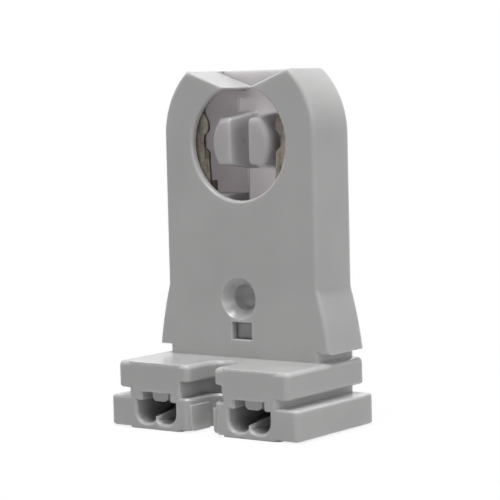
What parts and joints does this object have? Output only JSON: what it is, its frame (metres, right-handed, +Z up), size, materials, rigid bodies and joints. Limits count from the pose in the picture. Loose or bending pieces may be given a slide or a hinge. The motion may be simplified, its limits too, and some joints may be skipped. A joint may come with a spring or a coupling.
{
  "type": "fluorescent lamp holder",
  "caption": "Upright G13 bi-pin lamp holder for fluorescent tubes, with a slotted centre post, sprung side contacts and push-in wiring blocks on a grooved foot.",
  "frame": {"origin": "centre of the overall box at the height of the underside", "axes": "+Z up the holder towards the pin entry; the lamp side and the wire entries face -Y; +X across the front"},
  "size_m": [0.033, 0.0184, 0.0507],
  "materials": {
    "moulding": "satin gloss off-white moulding, slightly translucent",
    "contact": "bronze strip, slightly tarnished",
    "spring": "spring steel strip"
  },
  "bodies": {
    "root": {"front_housing": "moulding", "back_cover": "moulding", "contact_left": "contact", "contact_right": "contact", "wire_clamp_left": "spring", "wire_clamp_right": "spring"}
  },
  "joints": []
}
